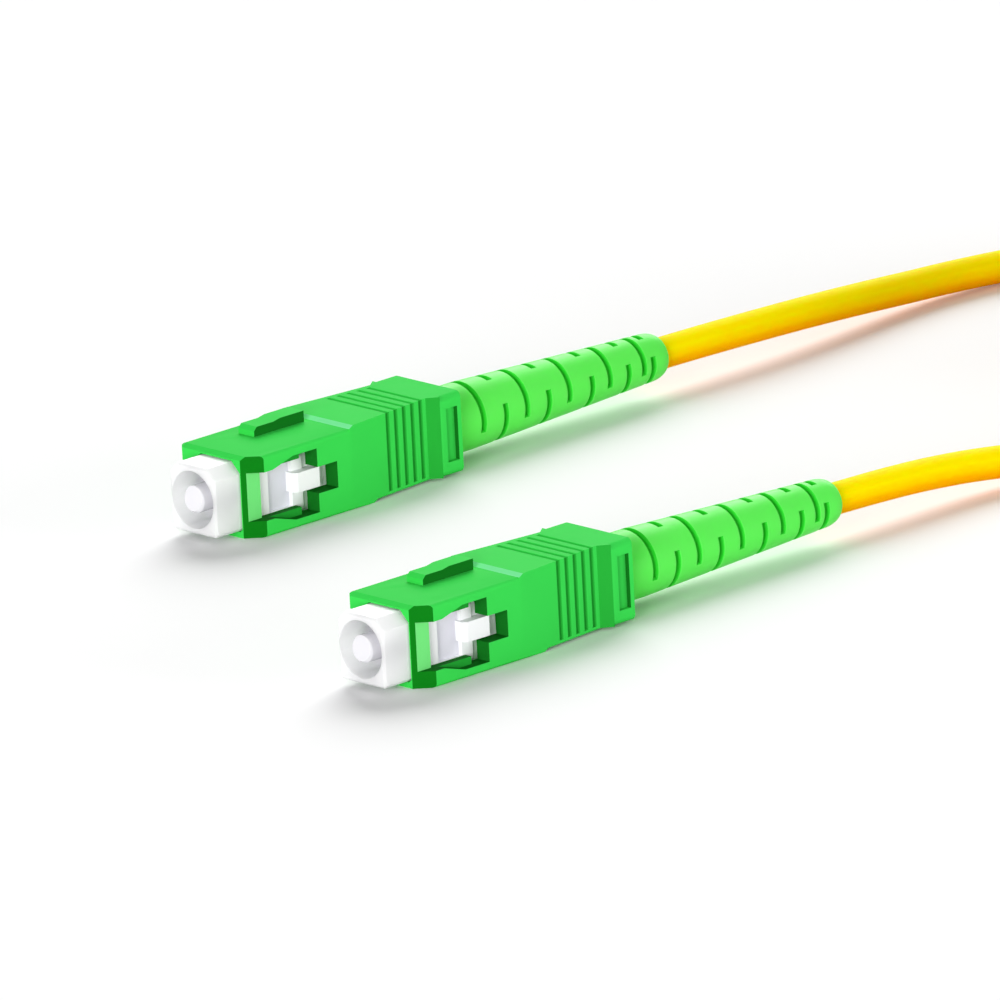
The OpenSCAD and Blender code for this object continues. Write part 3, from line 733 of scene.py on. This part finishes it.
def make_floor():
    sheet = bmesh.new()
    bmesh.ops.create_grid(sheet, x_segments=1, y_segments=1, size=FLOOR_HALF_WIDTH)
    floor = from_bmesh("floor", sheet)
    paint = bpy.data.materials.new("floor")
    paint.use_nodes = True
    tree = paint.node_tree
    tree.nodes.clear()
    diffuse = tree.nodes.new("ShaderNodeBsdfDiffuse")
    tree.links.new(seen_level(tree, FLOOR_GREY, FLOOR_SEEN), diffuse.inputs["Color"])
    out = tree.nodes.new("ShaderNodeOutputMaterial")
    tree.links.new(diffuse.outputs[0], out.inputs["Surface"])
    floor.data.materials.append(paint)
    floor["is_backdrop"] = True


def make_sky():
    world = bpy.data.worlds.new("studio")
    bpy.context.scene.world = world
    world.use_nodes = True
    tree = world.node_tree
    sky = tree.nodes["Background"]
    tree.links.new(seen_level(tree, SKY_FILL, 1.0), sky.inputs["Strength"])
    sky.inputs["Color"].default_value = (1, 1, 1, 1)


make_floor()
make_sky()
print("the floor is", 2 * FLOOR_HALF_WIDTH, "m wide")

# %% [markdown]
# ## Lamps
#
# Two broad lamps stand low. The front one looks at the noses and shines into the bores, and the
# side one looks at the long sides with the windows. A stronger lamp stands behind the plugs, about
# 34 degrees up, and throws the soft shadow forward. Sun lamps are used, because their light comes
# from one direction everywhere, so that both plugs are lit alike.

# %% Lamps
# For each lamp: the direction toward it, its strength and its width in degrees
LAMPS = {
    "front": ((-0.86, -0.42, 0.11), 3.0, 30),
    "side": ((0.45, -0.85, 0.10), 1.1, 30),
    "back": ((0.62, 0.50, 0.54), 3.15, 45),
}
for name, (toward, strength, width) in LAMPS.items():
    lamp = bpy.data.lights.new(name, "SUN")
    lamp.energy = strength
    lamp.angle = math.radians(width)
    sun = link(bpy.data.objects.new(name, lamp))
    sun.rotation_euler = Vector(toward).to_track_quat("Z", "Y").to_euler()
bpy.context.scene.view_settings.view_transform = "Standard"
print("lamps:", ", ".join(LAMPS))

# %% [markdown]
# ## Materials
#
# Every finish starts from the same three habits of a real surface. The colour drifts a little over
# a few millimetres, the gloss is never quite even, and a fine grain breaks up the highlights. Each
# habit is one noise texture on the object's own coordinates, so it stays put when the part moves.

# %% A base for all finishes
# Each noise: its scale, in waves per metre, and its detail
COLOUR_NOISE, GLOSS_NOISE, GRAIN_DETAIL = (180, 3), (700, 4), 2
GLOSS_SPREAD = 0.15


class Finish:
    """A principled material with colour drift, uneven gloss and a fine grain."""

    def __init__(self, name, colour, roughness, specular, drift, grain, grain_size):
        self.paint = bpy.data.materials.new(name)
        self.paint.use_nodes = True
        self.tree = self.paint.node_tree
        self.skin = self.tree.nodes["Principled BSDF"]
        self.skin.inputs["Specular IOR Level"].default_value = specular
        self.place = self.node("ShaderNodeTexCoord").outputs["Object"]
        tone = self.node("ShaderNodeMix", data_type="RGBA")
        tone.inputs["A"].default_value = (*[c * (1 - drift) for c in colour], 1)
        tone.inputs["B"].default_value = (*[min(1, c * (1 + drift)) for c in colour], 1)
        self.link(self.noise(*COLOUR_NOISE), tone.inputs["Factor"])
        self.show(tone.outputs["Result"])
        gloss = self.node("ShaderNodeMapRange")
        gloss.inputs["To Min"].default_value = roughness * (1 - GLOSS_SPREAD)
        gloss.inputs["To Max"].default_value = roughness * (1 + GLOSS_SPREAD)
        self.link(self.noise(*GLOSS_NOISE), gloss.inputs["Value"])
        self.link(gloss.outputs[0], self.skin.inputs["Roughness"])
        bump = self.node("ShaderNodeBump")
        bump.inputs["Strength"].default_value = 1
        bump.inputs["Distance"].default_value = grain * MM
        self.link(self.noise(1 / (grain_size * MM), GRAIN_DETAIL), bump.inputs["Height"])
        self.link(bump.outputs[0], self.skin.inputs["Normal"])

    def node(self, kind, **settings):
        made = self.tree.nodes.new(kind)
        for key, value in settings.items():
            setattr(made, key, value)
        return made

    def link(self, source, target):
        self.tree.links.new(source, target)

    def noise(self, scale, detail):
        made = self.node("ShaderNodeTexNoise")
        made.inputs["Scale"].default_value = scale
        made.inputs["Detail"].default_value = detail
        self.link(self.place, made.inputs["Vector"])
        return made.outputs["Fac"]

    def attribute(self, name):
        return self.node("ShaderNodeAttribute", attribute_name=name).outputs["Fac"]

    def show(self, colour):
        """Make this output the material's colour."""
        self.colour = colour
        self.link(colour, self.skin.inputs["Base Color"])

    def tint(self, attribute, colour, amount):
        """Blend toward another colour where an attribute is 1."""
        part = self.node("ShaderNodeMath", operation="MULTIPLY")
        part.inputs[1].default_value = amount
        self.link(self.attribute(attribute), part.inputs[0])
        blend = self.node("ShaderNodeMix", data_type="RGBA")
        blend.inputs["B"].default_value = (*colour, 1)
        self.link(part.outputs[0], blend.inputs["Factor"])
        self.link(self.colour, blend.inputs["A"])
        self.show(blend.outputs["Result"])

    def set(self, **sockets):
        for name, value in sockets.items():
            self.skin.inputs[name.replace("_", " ")].default_value = value


print("a colour drifts over about", round(1 / COLOUR_NOISE[0] / MM, 1), "mm")

# %% [markdown]
# ## The palette
#
# Each finish has its colour, its roughness, how strongly it reflects, how far its colour drifts,
# and its grain: the depth and the size of the grains in mm. The greens hardly reflect at all, since
# moulded housings are matted on purpose.

# %% Finishes
PALETTE = {
    "housing_green": ((0.045, 0.67, 0.085), 0.4, 0.003, 0.03, 0.002, 0.25),
    "boot_green": ((0.12, 0.85, 0.10), 0.35, 0.04, 0.03, 0.002, 0.3),
    "frame_white": ((0.97, 0.97, 0.99), 0.35, 0.35, 0.01, 0.0015, 0.25),
    "zirconia": ((0.84, 0.83, 0.87), 0.12, 0.4, 0.01, 0.0002, 0.1),
    "flange_nickel": ((0.62, 0.61, 0.58), 0.3, 0.5, 0.02, 0.001, 0.15),
    "guide_plastic": ((0.80, 0.84, 0.88), 0.3, 0.5, 0.01, 0.001, 0.2),
    "spring_steel": ((0.55, 0.56, 0.58), 0.28, 0.5, 0.02, 0.0006, 0.1),
    "post_metal": ((0.60, 0.60, 0.58), 0.35, 0.5, 0.02, 0.001, 0.12),
    "crimp_brass": ((0.70, 0.55, 0.28), 0.3, 0.5, 0.02, 0.001, 0.15),
    "aramid": ((0.85, 0.68, 0.16), 0.8, 0.2, 0.08, 0.02, 0.08),
    "buffer_white": ((0.85, 0.86, 0.84), 0.5, 0.4, 0.01, 0.001, 0.2),
    "jacket_yellow": ((1.0, 0.80, 0.0), 0.42, 0.005, 0.02, 0.003, 0.35),
    "tie_black": ((0.014, 0.014, 0.016), 0.85, 0.2, 0.2, 0.06, 0.4),
}
FINISHES = {name: Finish(name, *look) for name, look in PALETTE.items()}
for metal in ("flange_nickel", "spring_steel", "post_metal", "crimp_brass"):
    FINISHES[metal].set(Metallic=1.0)
print("finishes:", len(FINISHES))

# %% [markdown]
# ## Light inside the plastics
#
# Light goes a little way into plastics and ceramic before it comes out again, which makes them look
# soft. In the yellow jacket red light goes much further than green and blue, and this warms its
# colour. The white frame's nose stands free of the grip and takes in much more light than the rest
# of the frame, so this fades within half a millimetre of the grip's front.

# %% Depths
# For each finish: the share of the light that goes in, how far it goes in mm, and how much of that
# distance red, green and blue reach
DEPTHS = {
    "frame_white": (0.05, 3.0, (1.0, 1.0, 1.0)), "zirconia": (0.5, 0.8, (1.0, 1.0, 1.0)),
    "jacket_yellow": (1.0, 1.8, (1.0, 0.12, 0.01)), "boot_green": (0.5, 0.8, (0.3, 1.0, 0.3)),
}
for slot_name, (weight, reach, spread) in DEPTHS.items():
    FINISHES[slot_name].set(
        Subsurface_Weight=weight, Subsurface_Scale=reach * MM, Subsurface_Radius=spread
    )
# The nose's share, and where it fades, in mm behind the grip's front
NOSE_WEIGHT, NOSE_FADES = 0.75, (-0.5, 0.5)
white = FINISHES["frame_white"]
nose = white.node("ShaderNodeMapRange")
nose.inputs["From Min"].default_value, nose.inputs["From Max"].default_value = NOSE_FADES
nose.inputs["To Min"].default_value = NOSE_WEIGHT
nose.inputs["To Max"].default_value = DEPTHS["frame_white"][0]
white.link(white.attribute("along"), nose.inputs["Value"])
white.link(nose.outputs[0], white.skin.inputs["Subsurface Weight"])
print("finishes that let light in:", ", ".join(DEPTHS))

# %% [markdown]
# ## Painted light and shade
#
# The attributes that were written on the meshes now steer the colours: each one blends its finish
# toward another colour. These tints are painted light and shade: painted shade on the walls of the
# windows and pockets, the key's sides, the slanted corners, the collar's front, the grooves, the
# ramps, the boots' slots, the frames' hollows and the cable's underside, painted light on the
# windows' bridges and a painted highlight on the step on the top. This keeps one finish for one
# moulded piece, as it is in the real part, where the plastic is the same all over.

# %% Tints
# For each tint: the finish, the attribute, the other colour and how far the colour goes toward it
TINTS = [
    # Painted shade in the hollow beside the tab
    ("frame_white", "painted_recess_shade", (0.78, 0.76, 0.85), 1.0),
    # Painted shade on the cable's underside
    ("jacket_yellow", "painted_underside_shade", (1.0, 0.36, 0.0), 1.0),
    # Painted shade inside the boot's slots
    ("boot_green", "slot", (0.01, 0.60, 0.02), 0.7),
    # Painted shade on the walls of the windows and pockets and on the sides of the key
    ("housing_green", "painted_wall_shade", (0.0, 0.07, 0.0), 0.85),
    # Painted light on the bridge over the window
    ("housing_green", "thin", (0.22, 0.85, 0.25), 0.8),
    # Painted shade on the slanted corners, the collar's front, the grooves and the ramps
    ("housing_green", "painted_facet_shade", (0.0, 0.14, 0.0), 1.0),
    # Painted highlight on the step on the top
    ("housing_green", "painted_step_highlight", (0.3, 0.95, 0.5), 0.6),
]
for slot_name, attribute, colour, amount in TINTS:
    FINISHES[slot_name].tint(attribute, colour, amount)
print("tints:", len(TINTS))

# %% [markdown]
# ## Dressing the pieces
#
# The CAD nodes keep the slots that the record gives them. The pieces made here take the finish of
# the slot that they stand in for.

# %% Put the finishes on
def dress(piece, slot_name):
    piece.data.materials.clear()
    piece.data.materials.append(FINISHES[slot_name].paint)


for part in frame["record"]["subparts"]:
    node = frame["nodes"][part["node"]]
    dress(node, part["material_slot"])
PIECES = {
    "grip_shell": "housing_green", "frame_shell": "frame_white", "boot_sleeve": "boot_green",
    "ferrule_rod": "zirconia", "ferrule_flange_turned": "flange_nickel",
    "stop_ring_turned": "post_metal", "crimp_ring_turned": "crimp_brass",
    "spring_wire": "spring_steel",
}
for name, slot_name in PIECES.items():
    for end in ENDS:
        dress(bpy.data.objects[f"{name}_{end}"], slot_name)
dress(cable, "jacket_yellow")
for tie in ties:
    dress(tie, "tie_black")
print("dressed pieces:", len(PIECES) * len(ENDS) + 1 + len(ties))

# %% [markdown]
# ## Boxes round the model
#
# The box round the dressed part is printed beside the box round the CAD model. The two may differ
# by a few hundredths of a millimetre, since the smooth tube swings a little wider between its
# points than the model's cable, which runs straight there.

# %% Boxes round the model
visual_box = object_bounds()
for title, box in (("CAD model", cad_box), ("dressed part", visual_box)):
    print(title, "in mm:", [round((high - low) / MM, 2) for low, high in zip(*box)])
